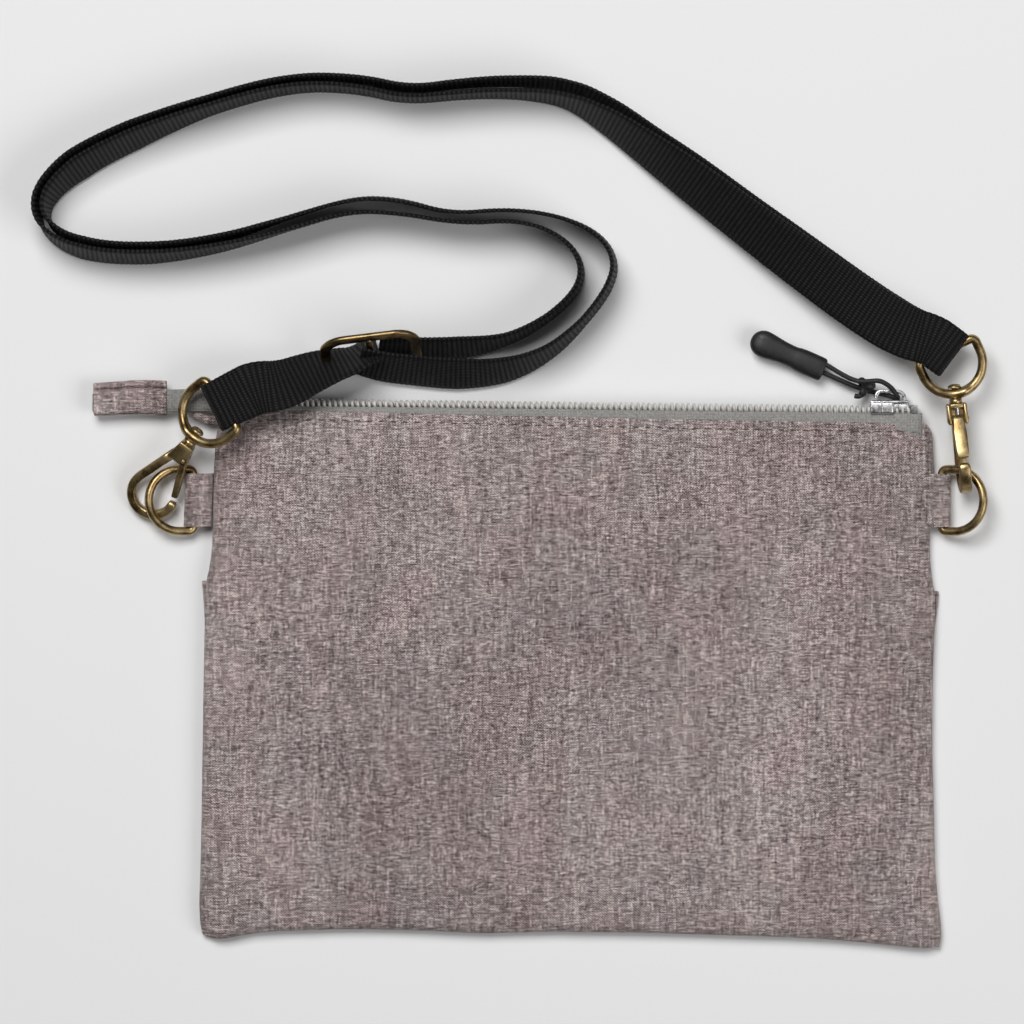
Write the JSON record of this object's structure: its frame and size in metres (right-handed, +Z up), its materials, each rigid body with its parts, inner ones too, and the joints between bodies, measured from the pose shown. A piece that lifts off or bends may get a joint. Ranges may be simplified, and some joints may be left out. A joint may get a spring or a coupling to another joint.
{
  "type": "zippered pouch",
  "caption": "Flat woven-cloth zip pouch with back slip pocket, corded zip puller, side rings and a clip-on adjustable webbing shoulder strap on swivel snap hooks.",
  "frame": {"origin": "middle of the pouch's back face, on the surface that it lies on", "axes": "+X along the zipper towards its closed end, +Y from the bottom seam to the zipper, +Z up from the surface to the pouch's front"},
  "size_m": [0.2662, 0.2427, 0.0194],
  "materials": {
    "pouch_cloth": "heathered plain weave",
    "lining_cloth": "plain",
    "zipper_tape": "herringbone tape",
    "zipper_coil": "nylon coil",
    "stop_metal": "satin",
    "slider_metal": "light grey enamel",
    "puller_cord": "braided",
    "puller_grip": "matte moulded",
    "antique_brass": "antique, rubbed bright on edges",
    "spring_steel": "plain",
    "webbing": "ribbed black webbing"
  },
  "bodies": {
    "root": {"back_pocket_panel": "pouch_cloth", "back_panel": "pouch_cloth", "front_panel": "pouch_cloth", "lining_back": "lining_cloth", "lining_front": "lining_cloth", "zipper_tape_front": "zipper_tape", "zipper_tape_back": "zipper_tape", "zipper_coil_front": "zipper_coil", "zipper_coil_back": "zipper_coil", "zipper_top_stops": "stop_metal", "zipper_bottom_stop": "stop_metal", "zipper_tail_tab": "pouch_cloth", "strap_adjuster": "antique_brass", "strap_strand_outer": "webbing", "strap_strand_inner": "webbing", "loop_tab_left": "pouch_cloth", "loop_tab_right": "pouch_cloth", "strap_ring_left": "antique_brass", "strap_ring_right": "antique_brass", "strap_end_left": "webbing", "strap_end_right": "webbing"},
    "slider": {"zipper_slider": "slider_metal"},
    "puller": {"puller_cord": "puller_cord", "puller_grip": "puller_grip"},
    "tab_ring_left": {"tab_ring_left": "antique_brass"},
    "hook_left": {"hook_left": "antique_brass", "gate_pin_left": "antique_brass", "gate_spring_left": "spring_steel", "swivel_rivet_left": "antique_brass"},
    "gate_left": {"gate_left": "antique_brass"},
    "tab_ring_right": {"tab_ring_right": "antique_brass"},
    "hook_right": {"hook_right": "antique_brass", "gate_pin_right": "antique_brass", "gate_spring_right": "spring_steel", "swivel_rivet_right": "antique_brass"},
    "gate_right": {"gate_right": "antique_brass"}
  },
  "joints": [
    {"name": "slider_slide", "type": "slide", "parent": "root", "child": "slider", "axis": [1, 0, 0], "range_m": [-0.04, 0]},
    {"name": "puller_swing", "type": "hinge", "parent": "slider", "child": "puller", "pos_m": [0.0897, 0.0776, 0.0038], "axis": [1, 0, 0], "range_deg": [0, 75]},
    {"name": "tab_ring_left_swing", "type": "hinge", "parent": "root", "child": "tab_ring_left", "pos_m": [-0.1045, 0.0477, 0.0028], "axis": [0, 1, 0], "range_deg": [-2, 3]},
    {"name": "hook_left_swivel", "type": "hinge", "parent": "root", "child": "hook_left", "pos_m": [-0.104, 0.0652, 0.0096], "axis": [-0.5688, -0.7687, -0.2924], "range_deg": [-4, 4]},
    {"name": "gate_left_open", "type": "hinge", "parent": "hook_left", "child": "gate_left", "pos_m": [-0.10656, 0.05888, 0.00759], "axis": [0.1754, 0.2339, -0.9563], "range_deg": [0, 12], "stiffness_Nm_per_rad": 0.01, "springref_deg": -11.46},
    {"name": "tab_ring_right_swing", "type": "hinge", "parent": "root", "child": "tab_ring_right", "pos_m": [0.1031, 0.0476, 0.003], "axis": [0, -1, 0], "range_deg": [-5, 7]},
    {"name": "hook_right_swivel", "type": "hinge", "parent": "root", "child": "hook_right", "pos_m": [0.1062, 0.077, 0.0096], "axis": [0.1145, -0.9896, -0.0872], "range_deg": [-6, 12]},
    {"name": "gate_right_open", "type": "hinge", "parent": "hook_right", "child": "gate_right", "pos_m": [0.10701, 0.07003, 0.01069], "axis": [0.9934, 0.1149, 0], "range_deg": [0, 25], "stiffness_Nm_per_rad": 0.01, "springref_deg": -11.46}
  ]
}
